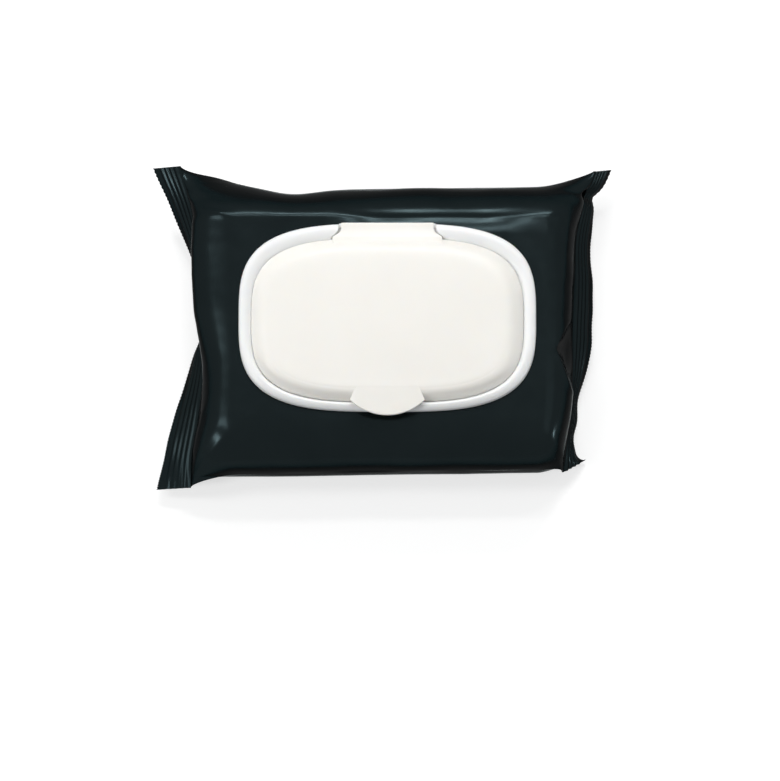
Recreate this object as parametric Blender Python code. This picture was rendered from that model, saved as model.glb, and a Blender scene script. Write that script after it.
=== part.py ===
"""Wet wipes pack with a flip lid.

A film pouch with a crimped seal at each end and a back seam underneath, a stack of folded
wipes inside, a moulded lid frame on top and a lid that flips up on a strap hinge at the back.
Metres, +Z up. The origin is on the surface that the pack lies on, under the middle of the
pack's outline. +X runs along the pack, +Y from the thumb tab towards the hinge. The functions
count from the lid's middle, and the parent that they share moves it to its place.
"""

import math

import bmesh
import bpy
import numpy as np

# Film pouch
BODY_LENGTH = 0.1310
BODY_WIDTH = 0.1052
PACK_HEIGHT = 0.0320
FILM_WALL = 0.0004
CONTACT_GAP = 0.0003
END_RUN = 0.0118
NOSE_POWER = 2.5
GATHER_POWER = 1.5
FRONT_FLAT = 0.0350
FRONT_POWER = 2.3
FRONT_SKEW = -0.015
BACK_FLAT = 0.0380
BACK_POWER = 1.5
BACK_SKEW = 0.012
UNDER_POWER = 2.6

# Crimped end seals
SEAL_LENGTH = 0.1190
SEAL_WIDTH = 0.0125
SEAL_THICKNESS = 0.0006
CRIMP_COUNT = 4
CRIMP_PITCH = 0.0022
CRIMP_DEPTH = 0.0004
CRIMP_START = 0.0010

# Back seam, folded flat into a shallow channel of the underside
SEAM_WIDTH = 0.0110
SEAM_THICKNESS = 0.0006
SEAM_ROOT_DEPTH = 0.00015
SEAM_CHANNEL_SIDE = 0.0016
SEAM_END_FADE = 0.12

# The inner line of each end seal, from the front ear to the back ear. Each row has the share
# of half the seal's length, the metres out past the body's end, the stretch across, the height
# as a share of the pack's, the droop and splay in degrees, and the metres by which the upper
# film bulges out above the line.
LEFT_SEAL = (
    (-1.00, 0.0047, 0.95, 0.28, 12, 0, 0.0000),
    (-0.55, 0.0020, 1.02, 0.37, 34, 0, 0.0000),
    (-0.25, -0.0003, 1.04, 0.44, 56, 0, 0.0012),
    (0.10, -0.0010, 1.01, 0.47, 80, 0, 0.0054),
    (0.45, 0.0004, 1.01, 0.50, 72, 0, 0.0052),
    (0.75, 0.0040, 1.00, 0.56, 55, 3, 0.0015),
    (1.00, 0.0090, 1.01, 0.62, 38, 8, 0.0000),
)
RIGHT_SEAL = (
    (-1.00, -0.0030, 0.85, 0.26, 33, 37, 0.0000),
    (-0.75, -0.0022, 0.97, 0.41, 69, 20, 0.0000),
    (-0.50, -0.0004, 1.00, 0.41, 79, 0, 0.0010),
    (0.00, 0.0006, 1.00, 0.47, 54, 0, 0.0000),
    (0.30, 0.0014, 1.01, 0.47, 57, 0, 0.0000),
    (0.60, 0.0020, 1.01, 0.48, 62, 5, 0.0000),
    (0.80, 0.0047, 0.98, 0.50, 69, 14, 0.0000),
    (1.00, 0.0089, 0.99, 0.53, 55, 30, 0.0000),
)

# Pinched fold in the upper film of the right end, the slack dip in the back wall, and the pull
# of the left back ear on that wall
PINCH_Y = -0.0075
PINCH_LENGTH = 0.0058
PINCH_SPREAD = 2.3
PINCH_DEPTH = 0.0034
PINCH_SEAL_POWER = 4
DIP_X = -0.034
DIP_LENGTH = 0.011
DIP_DEPTH = 0.0020
DIP_START_SHARE = 0.55
EAR_X = -0.060
EAR_LENGTH = 0.013
EAR_RISE = 0.0032

# Lid frame
FRAME_LENGTH = 0.1060
FRAME_DEPTH = 0.0693
FRAME_POWER = 3.27
PLATE_THICKNESS = 0.0009
RIM_HEIGHT = 0.0028
RIM_SIDE_WIDTH = 0.0043
RIM_FRONT_WIDTH = 0.0038
RIM_BACK_WIDTH = 0.0053
COLLAR_HEIGHT = 0.0026
COLLAR_WALL = 0.0012
OPENING_LENGTH = 0.0600
OPENING_DEPTH = 0.0330
OPENING_POWER = 2.6
FILM_CUT_MARGIN = 0.0006

# Flip lid
LID_WALL = 0.0010
LID_CLEARANCE = 0.00035
LID_LIFT = 0.0003
LID_CREASE_HEIGHT = 0.0056
LID_CROWN = 0.0006
LID_SHOULDER_SIDE = 0.0050
LID_SHOULDER_FRONT = 0.0031
LID_SHOULDER_BACK = 0.0053
SKIRT_WALL = 0.0008
SKIRT_CLEARANCE = 0.0005
SKIRT_LIFT = 0.0007
TAB_WIDTH = 0.0266
TAB_NECK_WIDTH = 0.0192
TAB_OVERHANG = 0.0025
TAB_SAGITTA = 0.0056
TAB_LENGTH = 0.0106
TAB_ROOT_DEPTH = 0.0030
TAB_THICKNESS = 0.0011
STRAP_WIDTH = 0.0330
STRAP_FLARE = 0.0030
STRAP_THICKNESS = 0.0010
STRAP_ROOT_DEPTH = 0.0014
HINGE_HEIGHT = 0.0022
HINGE_GAP = 0.0003
SILL_DEPTH = 0.0016
NOTCH_GAP = 0.0007

# Wipes
STACK_END_ROOM = 0.0095
STACK_SIDE_ROOM = 0.0090
STACK_CORNER_POWER = 7.0
STACK_EDGE_RADIUS = 0.0060
WIPE_THICKNESS = 0.0010
TOP_WIPE_INSET = 0.0060

# Fineness of the curved forms
OUTLINE_POINTS = 64
STACK_POINTS = 32
EDGE_STEPS = 4
SECTION_SAMPLES = 200
FLAT_STEPS = 6
SHOULDER_STEPS = 8
BODY_STEPS = 4
NOSE_STEPS = 8
CAVITY_NOSE_REACH = 0.22
CAVITY_FOLD_REACH = 0.985
STEP = 0.001

LEFT, RIGHT = -1, 1
FRONT, BACK = -1, 1
UPPER, LOWER = 1, -1
HALF_HEIGHT = PACK_HEIGHT / 2
HALF_SEAL = SEAL_LENGTH / 2
FLAT_END = BODY_LENGTH / 2 - END_RUN
STACK_LENGTH = BODY_LENGTH - 2 * STACK_END_ROOM
STACK_WIDTH = BODY_WIDTH - 2 * STACK_SIDE_ROOM
FRAME_BASE = PACK_HEIGHT + CONTACT_GAP
HINGE_Y = FRAME_DEPTH / 2 - STRAP_THICKNESS / 2
HINGE_Z = FRAME_BASE + HINGE_HEIGHT


def clear_scene():
    for old in list(bpy.data.objects):
        bpy.data.objects.remove(old)


def material(name, colour, roughness):
    made = bpy.data.materials.new(name)
    made.use_nodes = True
    shader = made.node_tree.nodes["Principled BSDF"]
    shader.inputs["Base Color"].default_value = (*colour, 1.0)
    shader.inputs["Roughness"].default_value = roughness
    shader.inputs["Metallic"].default_value = 0.0
    return made


def add_node(name, mesh, finish, smooth_angle=40):
    made = bpy.data.objects.new(name, mesh)
    bpy.context.scene.collection.objects.link(made)
    mesh.materials.append(finish)
    mesh.shade_smooth()
    mesh.set_sharp_from_angle(angle=math.radians(smooth_angle))
    return made


def add_helper(name, mesh):
    made = bpy.data.objects.new(name, mesh)
    bpy.context.scene.collection.objects.link(made)
    made.hide_render = True
    made.display_type = "WIRE"
    return made


def boolean(target, tool, operation):
    step = target.modifiers.new(tool.name, "BOOLEAN")
    step.operation = operation
    step.object = tool
    step.solver = "EXACT"


def mesh_from_rings(name, rings, ends="flat"):
    """A tube through rings of equal length. Its ends are flat caps, slits or joined in a loop.

    A slit's ring runs out along one film and back along the other, and is closed across.
    """
    shape = bmesh.new()
    rows = [[shape.verts.new(point) for point in ring] for ring in rings]
    count = len(rows[0])
    pairs = list(zip(rows, rows[1:]))
    if ends == "loop":
        pairs.append((rows[-1], rows[0]))
    for low, high in pairs:
        for i in range(count):
            j = (i + 1) % count
            shape.faces.new((low[i], low[j], high[j], high[i]))
    if ends == "flat":
        shape.faces.new(rows[0][::-1])
        shape.faces.new(rows[-1])
    if ends == "slit":
        for row in (rows[0], rows[-1]):
            for i in range(count // 2 - 1):
                shape.faces.new((row[i], row[i + 1], row[-2 - i], row[-1 - i]))
    bmesh.ops.recalc_face_normals(shape, faces=shape.faces)
    mesh = bpy.data.meshes.new(name)
    shape.to_mesh(mesh)
    shape.free()
    return mesh


def prism(name, outline, low, high):
    """An upright prism on a plan outline of (x, y) points."""
    return mesh_from_rings(name, [[(x, y, z) for x, y in outline] for z in (low, high)])


# The pouch's film. A place on it has a side (left or right), a reach along that side (0 at the
# middle, 1 where the flat top ends, 2 at the seal's inner line), a share of the half film width
# (-1 at the front fold, 1 at the back fold) and a layer, upper or lower.


def through_knots(table, column, share):
    """A smooth curve through one column of a seal's table, at the given shares."""
    knots = np.array([row[0] for row in table])
    values = np.array([row[column] for row in table])
    slopes = np.gradient(values, knots)
    place = np.clip(np.searchsorted(knots, share, side="right") - 1, 0, len(knots) - 2)
    span = knots[place + 1] - knots[place]
    s = (share - knots[place]) / span
    return (
        (2 * s**3 - 3 * s**2 + 1) * values[place]
        + (s**3 - 2 * s**2 + s) * span * slopes[place]
        + (3 * s**2 - 2 * s**3) * values[place + 1]
        + (s**3 - s**2) * span * slopes[place + 1]
    )


def shoulder_curve(flat, power):
    """The section from the edge of its flat part to the fold: (share of its length, across, rise)."""
    turn = np.linspace(0, math.pi / 2, SECTION_SAMPLES)
    across = flat + (BODY_WIDTH / 2 - flat) * np.sin(turn) ** (2 / power)
    rise = HALF_HEIGHT * np.abs(np.cos(turn)) ** (2 / power)
    length = np.concatenate([[0], np.cumsum(np.hypot(np.diff(across), np.diff(rise)))])
    return length / length[-1], across, rise


FLAT = {FRONT: FRONT_FLAT, BACK: BACK_FLAT}
SKEW = {FRONT: FRONT_SKEW, BACK: BACK_SKEW}
SHOULDER = {
    (UPPER, FRONT): shoulder_curve(FRONT_FLAT, FRONT_POWER),
    (UPPER, BACK): shoulder_curve(BACK_FLAT, BACK_POWER),
    (LOWER, FRONT): shoulder_curve(FRONT_FLAT, UNDER_POWER),
    (LOWER, BACK): shoulder_curve(BACK_FLAT, UNDER_POWER),
}


def section(share, layer):
    """The body's section at the given shares: (across, rise above the fold, share of the skew)."""
    across = share * HALF_SEAL
    rise = np.full_like(share, HALF_HEIGHT)
    lean = np.zeros_like(share)
    for end in (FRONT, BACK):
        beyond = (share * end * HALF_SEAL - FLAT[end]) / (HALF_SEAL - FLAT[end])
        fraction, shoulder_across, shoulder_rise = SHOULDER[layer, end]
        across = np.where(beyond > 0, end * np.interp(beyond, fraction, shoulder_across), across)
        rise = np.where(beyond > 0, np.interp(beyond, fraction, shoulder_rise), rise)
        run = BODY_WIDTH / 2 - FLAT[end]
        lean = lean + end * SKEW[end] * np.clip((across * end - FLAT[end]) / run, 0, 1)
    return across, np.maximum(rise, SEAL_THICKNESS / 2), lean


def film_shares():
    """The shares where the film's rings have points, with the seam channel's corners."""
    seam = SEAM_WIDTH / 2
    inner = [0, seam, seam + SEAM_CHANNEL_SIDE]
    halves = []
    for flat in (FRONT_FLAT, BACK_FLAT):
        beside = np.linspace(inner[-1], flat, FLAT_STEPS)[1:-1]
        shoulder = np.linspace(flat, HALF_SEAL, SHOULDER_STEPS)
        halves.append(np.concatenate([inner, beside, shoulder]) / HALF_SEAL)
    return np.concatenate([-halves[0][:0:-1], halves[1]])


def line_points(table, share):
    """Places on a seal's inner line, with x counted outwards."""
    out = BODY_LENGTH / 2 + through_knots(table, 1, share)
    across = share * HALF_SEAL * through_knots(table, 2, share)
    return np.stack([out, across, PACK_HEIGHT * through_knots(table, 3, share)], -1)


def seal_line(side, share):
    """The seal's inner line with its outward direction and the normal of its upper face."""
    table = LEFT_SEAL if side == LEFT else RIGHT_SEAL
    droop = np.radians(through_knots(table, 4, share))
    splay = np.radians(through_knots(table, 5, share))
    outward = np.stack(
        [np.cos(droop) * np.cos(splay), np.cos(droop) * np.sin(splay), -np.sin(droop)], -1
    )
    near = line_points(table, np.clip(share - STEP, -1, 1))
    far = line_points(table, np.clip(share + STEP, -1, 1))
    normal = np.cross(outward, far - near)
    normal = normal / np.linalg.norm(normal, axis=-1, keepdims=True)
    return line_points(table, share), outward, normal


def pinch_depth(place, line_out, q):
    """How deep the pinched fold is: it widens from its apex and closes again at the seal."""
    along = np.clip(1 - (line_out - place[..., 0]) / PINCH_LENGTH, 0, 1)
    half_width = np.maximum(PINCH_SPREAD * PINCH_LENGTH * along, STEP * PINCH_LENGTH)
    beside = np.clip(np.abs(place[..., 1] - PINCH_Y) / half_width, 0, 1)
    return PINCH_DEPTH * along * (1 - beside**2) * (1 - q**PINCH_SEAL_POWER)


def bare_film(side, reach, share, layer):
    """A place on the film before the seam channel, with x counted outwards on both sides."""
    across, rise, lean = section(share, layer)
    q = np.clip(reach - 1, 0, 1)
    out = np.sin(q * math.pi / 2) ** (2 / NOSE_POWER)
    fall = np.abs(np.cos(q * math.pi / 2)) ** (2 / NOSE_POWER) if q < 1 else 0.0
    blend = out**GATHER_POWER
    line, _, normal = seal_line(side, share)
    table = LEFT_SEAL if side == LEFT else RIGHT_SEAL
    hump = q**2 * (1 - q) * 27 / 4
    bulge = through_knots(table, 6, share) * (layer == UPPER) * hump
    x = min(reach, 1) * FLAT_END + (line[..., 0] - FLAT_END) * out + bulge
    y = across + lean * side * x * (1 - blend) + (line[..., 1] - across) * blend
    z = line[..., 2] + (HALF_HEIGHT + layer * rise - line[..., 2]) * fall
    nearness = np.exp(-(((side * x - DIP_X) / DIP_LENGTH) ** 2))
    lowness = np.clip((share - DIP_START_SHARE) / (1 - DIP_START_SHARE), 0, 1)
    y = y - DIP_DEPTH * nearness * lowness**2
    nearness = np.exp(-(((side * x - EAR_X) / EAR_LENGTH) ** 2))
    y = y + EAR_RISE * nearness * lowness**2 * (1 - blend**2)
    place = np.stack([x, y, z], -1) + layer * SEAL_THICKNESS / 2 * (1 - fall) * normal
    if side == RIGHT and layer == UPPER:
        depth = pinch_depth(place, line[..., 0], q)
        place = place - np.stack([depth, 0 * depth, depth / 2], -1)
    return place


def film_normal(side, reach, share, layer):
    """The outward normal of the film, with x counted outwards."""
    near = bare_film(side, max(reach - STEP, 0), share, layer)
    far = bare_film(side, min(reach + STEP, 2), share, layer)
    front = bare_film(side, reach, np.clip(share - STEP, -1, 1), layer)
    back = bare_film(side, reach, np.clip(share + STEP, -1, 1), layer)
    normal = layer * np.cross(far - near, back - front)
    return normal / np.linalg.norm(normal, axis=-1, keepdims=True)


def film_place(side, reach, share, layer, depth=0.0):
    """A place on the film or a depth inside it. The lower film makes room for the back seam."""
    place = bare_film(side, reach, share, layer)
    if layer == LOWER:
        beside = (np.abs(share) * HALF_SEAL - SEAM_WIDTH / 2) / SEAM_CHANNEL_SIDE
        fade = np.clip((2 - reach) / SEAM_END_FADE, 0, 1)
        channel = (SEAM_THICKNESS + CONTACT_GAP) * np.clip(1 - beside, 0, 1) * fade
        depth = depth + channel
    normal = film_normal(side, reach, share, layer)
    place = place - normal * np.reshape(depth * np.ones_like(share), (-1, 1))
    return place * np.array([side, 1, 1])


def film_ring(side, reach, shares, depth=0.0):
    """One ring of the pouch: the upper film to the back fold, the lower film to the front one."""
    upper = film_place(side, reach, shares, UPPER, depth)
    lower = film_place(side, reach, shares[::-1], LOWER, depth)
    return np.concatenate([upper, lower])


def seal_ring(side, width, shares):
    """One ring of a crimped seal, at a width outwards from its inner line."""
    crimp = (width - CRIMP_START) / CRIMP_PITCH
    ridge = CRIMP_DEPTH * (crimp % 1 == 0.5) * (0 < crimp < CRIMP_COUNT)
    line, outward, normal = seal_line(side, shares)
    middle = line + width * outward + ridge * normal
    upper = middle + normal * SEAL_THICKNESS / 2
    lower = (middle - normal * SEAL_THICKNESS / 2)[::-1]
    return np.concatenate([upper, lower]) * np.array([side, 1, 1])


def film_reaches(nose_end):
    """The reaches of one side's rings, from the middle outwards."""
    body = np.linspace(0, 1, BODY_STEPS)
    nose = 1 + np.linspace(0, nose_end, NOSE_STEPS)[1:]
    return np.concatenate([body, nose])


def pouch_mesh():
    shares = film_shares()
    widths = [CRIMP_START + CRIMP_PITCH * half / 2 for half in range(2 * CRIMP_COUNT + 1)]
    widths.append(SEAL_WIDTH)
    left = [film_ring(LEFT, reach, shares) for reach in film_reaches(1.0)]
    right = [film_ring(RIGHT, reach, shares) for reach in film_reaches(1.0)]
    left += [seal_ring(LEFT, width, shares) for width in widths]
    right += [seal_ring(RIGHT, width, shares) for width in widths]
    return mesh_from_rings("film_pouch", left[:0:-1] + right, ends="slit")


def cavity_mesh():
    """The room inside the film, which ends short of the seals."""
    shares = film_shares() * CAVITY_FOLD_REACH
    reaches = film_reaches(CAVITY_NOSE_REACH)
    left = [film_ring(LEFT, reach, shares, FILM_WALL) for reach in reaches]
    right = [film_ring(RIGHT, reach, shares, FILM_WALL) for reach in reaches]
    return mesh_from_rings("pouch_cavity", left[:0:-1] + right, ends="slit")


def seam_mesh():
    """The back seam: a flat fin that hangs on its front edge and lies along the underside."""
    edge = SEAM_WIDTH / 2 / HALF_SEAL
    ends = np.array([-edge, edge])
    rings = []
    nose_end = 1 - SEAM_END_FADE
    for side in (LEFT, RIGHT):
        reaches = film_reaches(nose_end)
        for reach in reaches[:0:-1] if side == LEFT else reaches:
            front, back = film_place(side, reach, ends, LOWER)
            down = film_normal(side, reach, ends, LOWER) * np.array([side, 1, 1])
            outer = CONTACT_GAP + SEAM_THICKNESS
            rings.append([
                front - down[0] * SEAM_ROOT_DEPTH,
                back + down[1] * CONTACT_GAP,
                back + down[1] * outer,
                front + down[0] * outer,
            ])
    return mesh_from_rings("back_seam", rings)


def superellipse(length, depth, power, shift=0.0, points=OUTLINE_POINTS):
    """A plan outline of (x, y) points, moved along Y by the shift."""
    turn = np.arange(points) * 2 * math.pi / points
    x = length / 2 * np.sign(np.cos(turn)) * np.abs(np.cos(turn)) ** (2 / power)
    y = depth / 2 * np.sign(np.sin(turn)) * np.abs(np.sin(turn)) ** (2 / power)
    return np.stack([x, y + shift], 1)


def frame_outline(side, front, back):
    """The frame's outline drawn in by its own width at the sides, front and back."""
    depth = FRAME_DEPTH - front - back
    return superellipse(FRAME_LENGTH - 2 * side, depth, FRAME_POWER, (front - back) / 2)


def opening_outline(margin):
    return superellipse(OPENING_LENGTH + 2 * margin, OPENING_DEPTH + 2 * margin, OPENING_POWER)


def at_height(outline, height):
    return np.column_stack([outline, np.full(len(outline), FRAME_BASE + height)])


def rim_ring(share, height):
    """A ring of the frame's rim, at a share of the rim's width from its outer face."""
    widths = [share * width for width in (RIM_SIDE_WIDTH, RIM_FRONT_WIDTH, RIM_BACK_WIDTH)]
    return at_height(frame_outline(*widths), height)


def frame_mesh():
    """The plate with a rounded rim round its edge and a collar round the opening."""
    crest = RIM_HEIGHT
    rings = [
        rim_ring(0.0, 0.0),
        rim_ring(0.0, crest * 0.5),
        rim_ring(0.07, crest * 0.8),
        rim_ring(0.2, crest * 0.96),
        rim_ring(0.38, crest),
        rim_ring(0.65, crest * 0.97),
        rim_ring(0.86, crest * 0.86),
        rim_ring(0.97, crest * 0.66),
        rim_ring(1.0, PLATE_THICKNESS),
        at_height(opening_outline(COLLAR_WALL), PLATE_THICKNESS),
        at_height(opening_outline(COLLAR_WALL), COLLAR_HEIGHT * 0.85),
        at_height(opening_outline(COLLAR_WALL * 0.7), COLLAR_HEIGHT),
        at_height(opening_outline(COLLAR_WALL * 0.3), COLLAR_HEIGHT),
        at_height(opening_outline(0.0), COLLAR_HEIGHT * 0.85),
        at_height(opening_outline(0.0), 0.0),
    ]
    return mesh_from_rings("lid_frame", rings, ends="loop")


def strap_half_width(y):
    """Half the strap's width. It flares where it leaves the lid."""
    lid_edge = FRAME_DEPTH / 2 - RIM_BACK_WIDTH
    flare = np.clip((lid_edge - y) / STRAP_FLARE + 1, 0, 1)
    return STRAP_WIDTH / 2 + STRAP_FLARE * flare**2


def notch_mesh():
    """Cuts the rim away round the strap, down to the plate."""
    stations = np.linspace(FRAME_DEPTH / 2 - RIM_BACK_WIDTH - STRAP_FLARE, FRAME_DEPTH / 2, 8)
    stations = np.append(stations, FRAME_DEPTH / 2 + STRAP_FLARE)
    low = FRAME_BASE + PLATE_THICKNESS
    high = FRAME_BASE + RIM_HEIGHT + STRAP_THICKNESS
    rings = []
    for y in stations:
        half = strap_half_width(y) + NOTCH_GAP
        rings.append([(-half, y, low), (half, y, low), (half, y, high), (-half, y, high)])
    return mesh_from_rings("strap_notch", rings)


def sill_mesh():
    """The frame's side of the hinge: a low sill along its back edge, under the strap's end."""
    back = FRAME_DEPTH / 2
    front = back - SILL_DEPTH
    low = FRAME_BASE + PLATE_THICKNESS / 2
    high = HINGE_Z - STRAP_THICKNESS / 2 - HINGE_GAP
    half = STRAP_WIDTH / 2 + NOTCH_GAP
    profile = [(front, low), (back, low), (back, high), (front, high)]
    return mesh_from_rings("hinge_sill", [[(x, y, z) for y, z in profile] for x in (-half, half)])


def lid_outline(share):
    """The lid's outline at a share of its shoulder: 0 at the lower edge, 1 at the crease."""
    side = RIM_SIDE_WIDTH + LID_CLEARANCE + share * LID_SHOULDER_SIDE
    front = RIM_FRONT_WIDTH + LID_CLEARANCE + share * LID_SHOULDER_FRONT
    back = RIM_BACK_WIDTH + LID_CLEARANCE + share * LID_SHOULDER_BACK
    return frame_outline(side, front, back)


def lid_mesh():
    """A thin domed shell with a skirt inside that seats round the frame's collar."""
    foot = PLATE_THICKNESS + LID_LIFT
    rise = LID_CREASE_HEIGHT - foot
    wall = LID_WALL
    under = LID_CREASE_HEIGHT - wall
    inner_share = wall / LID_SHOULDER_SIDE
    skirt_in = COLLAR_WALL + SKIRT_CLEARANCE
    skirt_out = skirt_in + SKIRT_WALL
    crease = lid_outline(1.0)
    middle = crease.mean(axis=0)

    def crown(share):
        outline = middle + (crease - middle) * share
        return at_height(outline, LID_CREASE_HEIGHT + LID_CROWN * (1 - share**2))

    rings = [
        crown(0.3),
        crown(0.55),
        crown(0.8),
        crown(0.96),
        at_height(lid_outline(0.86), foot + rise * 0.955),
        at_height(lid_outline(0.66), foot + rise * 0.8),
        at_height(lid_outline(0.4), foot + rise * 0.53),
        at_height(lid_outline(0.16), foot + rise * 0.22),
        at_height(lid_outline(0.0), foot + rise * 0.08),
        at_height(lid_outline(0.0), foot),
        at_height(lid_outline(inner_share), foot),
        at_height(lid_outline(inner_share + 0.16), foot + rise * 0.1),
        at_height(lid_outline(inner_share + 0.4), foot + rise * 0.4),
        at_height(lid_outline(inner_share + 0.66), foot + rise * 0.64),
        at_height(lid_outline(inner_share + 0.9), under),
        at_height(opening_outline(skirt_out), under),
        at_height(opening_outline(skirt_out), PLATE_THICKNESS + SKIRT_LIFT),
        at_height(opening_outline(skirt_in), PLATE_THICKNESS + SKIRT_LIFT),
        at_height(opening_outline(skirt_in), under),
    ]
    return mesh_from_rings("flip_lid", rings)


def tab_mesh():
    """The thumb tab: a flat lip from the lid's front crease, over the rim, with a round front."""
    tip_y = -(FRAME_DEPTH / 2 + TAB_OVERHANG) + TAB_SAGITTA
    half = TAB_WIDTH / 2
    radius = (half**2 + TAB_SAGITTA**2) / (2 * TAB_SAGITTA)
    centre_y = tip_y - TAB_SAGITTA + radius
    spread = math.asin(half / radius)
    turns = np.linspace(spread, -spread, 15)
    arc = [(radius * math.sin(turn), centre_y - radius * math.cos(turn)) for turn in turns]
    neck_y = tip_y - TAB_SAGITTA + TAB_LENGTH + TAB_ROOT_DEPTH
    neck = TAB_NECK_WIDTH / 2
    outline = [(-neck, neck_y), (neck, neck_y)] + arc
    high = FRAME_BASE + LID_CREASE_HEIGHT
    return prism("thumb_tab", outline, high - TAB_THICKNESS, high)


def strap_mesh():
    """The hinge strap, from inside the lid's back shoulder to its round end on the hinge line."""
    root_y = FRAME_DEPTH / 2 - RIM_BACK_WIDTH - LID_CLEARANCE - STRAP_ROOT_DEPTH
    radius = STRAP_THICKNESS / 2
    stations = [(y, radius) for y in np.linspace(root_y, HINGE_Y, 7)]
    stations += [(HINGE_Y + radius * math.sin(turn), radius * math.cos(turn)) for turn in (0.6, 1.1)]
    rings = []
    for y, half_thickness in stations:
        half = strap_half_width(y)
        low, high = HINGE_Z - half_thickness, HINGE_Z + half_thickness
        rings.append([(-half, y, low), (half, y, low), (half, y, high), (-half, y, high)])
    return mesh_from_rings("hinge_strap", rings)


def wipes_mesh(name, length, width, low, high, radius):
    """A block of folded wipes with rounded edges."""
    rings = []
    for turn in np.linspace(0, math.pi / 2, EDGE_STEPS):
        inset = 2 * radius * (1 - math.sin(turn))
        outline = superellipse(
            length - inset, width - inset, STACK_CORNER_POWER, points=STACK_POINTS
        )
        height = low + radius * (1 - math.cos(turn))
        rings.append(np.column_stack([outline, np.full(len(outline), height)]))
    upper = [ring * np.array([1, 1, -1]) + np.array([0, 0, low + high]) for ring in rings[::-1]]
    return mesh_from_rings(name, rings + upper)


def pack_centre(mesh):
    """The middle of the pack's outline seen from above."""
    points = np.array([vertex.co for vertex in mesh.vertices])
    return (points.min(axis=0) + points.max(axis=0)) / 2


def add_empty(name, location, parent=None):
    made = bpy.data.objects.new(name, None)
    made.location = location
    made.parent = parent
    bpy.context.scene.collection.objects.link(made)
    return made


def build():
    clear_scene()
    film = material("dark matt film", (0.012, 0.017, 0.018), 0.45)
    white = material("white moulded plastic", (0.86, 0.86, 0.84), 0.4)
    cloth = material("wet nonwoven", (0.82, 0.82, 0.80), 0.85)

    film_mesh = pouch_mesh()
    middle = pack_centre(film_mesh)
    lid_middle = add_empty("lid_middle", (-middle[0], -middle[1], 0))

    pouch = add_node("film_pouch", film_mesh, film)
    cut = prism("film_cut", opening_outline(FILM_CUT_MARGIN), HALF_HEIGHT, FRAME_BASE)
    seam_tool = add_helper("back_seam", seam_mesh())
    cavity_tool = add_helper("pouch_cavity", cavity_mesh())
    cut_tool = add_helper("film_cut", cut)
    boolean(pouch, seam_tool, "UNION")
    boolean(pouch, cavity_tool, "DIFFERENCE")
    boolean(pouch, cut_tool, "DIFFERENCE")

    frame = add_node("lid_frame", frame_mesh(), white)
    notch_tool = add_helper("strap_notch", notch_mesh())
    sill_tool = add_helper("hinge_sill", sill_mesh())
    boolean(frame, notch_tool, "DIFFERENCE")
    boolean(frame, sill_tool, "UNION")

    lid = add_node("flip_lid", lid_mesh(), white)
    tab_tool = add_helper("thumb_tab", tab_mesh())
    strap_tool = add_helper("hinge_strap", strap_mesh())
    boolean(lid, tab_tool, "UNION")
    boolean(lid, strap_tool, "UNION")

    inside_low = FILM_WALL + SEAM_THICKNESS + 2 * CONTACT_GAP
    inside_high = PACK_HEIGHT - FILM_WALL - CONTACT_GAP
    top_low = inside_high - WIPE_THICKNESS
    stack_mesh = wipes_mesh(
        "wipe_stack", STACK_LENGTH, STACK_WIDTH, inside_low, top_low - CONTACT_GAP, STACK_EDGE_RADIUS
    )
    top_length = STACK_LENGTH - 2 * TOP_WIPE_INSET
    top_width = STACK_WIDTH - 2 * TOP_WIPE_INSET
    top_mesh = wipes_mesh(
        "top_wipe", top_length, top_width, top_low, inside_high, WIPE_THICKNESS / 3
    )
    stack = add_node("wipe_stack", stack_mesh, cloth)
    top = add_node("top_wipe", top_mesh, cloth)

    for piece in (pouch, seam_tool, cavity_tool, cut_tool, frame, notch_tool, sill_tool, stack, top):
        piece.parent = lid_middle
    hinge = (0, HINGE_Y, HINGE_Z)
    hinge_axis = add_empty("hinge_axis", hinge, lid_middle)
    for piece in (lid, tab_tool, strap_tool):
        piece.parent = hinge_axis
        piece.location = [-length for length in hinge]


if __name__ == "__main__":
    build()
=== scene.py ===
import math

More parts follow.
